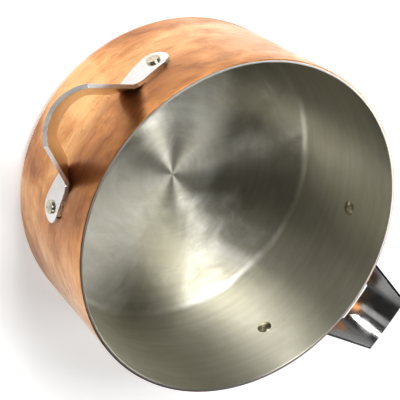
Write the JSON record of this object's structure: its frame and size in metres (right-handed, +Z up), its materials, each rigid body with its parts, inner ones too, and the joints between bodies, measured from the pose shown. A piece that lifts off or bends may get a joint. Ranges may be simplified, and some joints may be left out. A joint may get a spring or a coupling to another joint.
{
  "type": "copper stockpot",
  "caption": "Round straight-sided copper stockpot with a bonded steel lining and two flared polished strap handles riveted to its sides.",
  "frame": {"origin": "centre of the underside, on the surface the pot stands on", "axes": "+Z up out of the mouth, +X towards one handle, -X towards the other"},
  "size_m": [0.3788, 0.267, 0.1281],
  "materials": {
    "copper": "worn patinated copper",
    "core": "plain, seen only at the rim",
    "liner": "brushed stainless, lightly stained",
    "handle": "mirror polished stainless",
    "rivet": "satin, slightly yellow"
  },
  "bodies": {
    "root": {"copper_shell": "copper", "aluminium_core": "core", "steel_liner": "liner", "handle_front": "handle", "handle_back": "handle", "rivet_front_left": "rivet", "rivet_front_right": "rivet", "rivet_back_left": "rivet", "rivet_back_right": "rivet"}
  },
  "joints": []
}
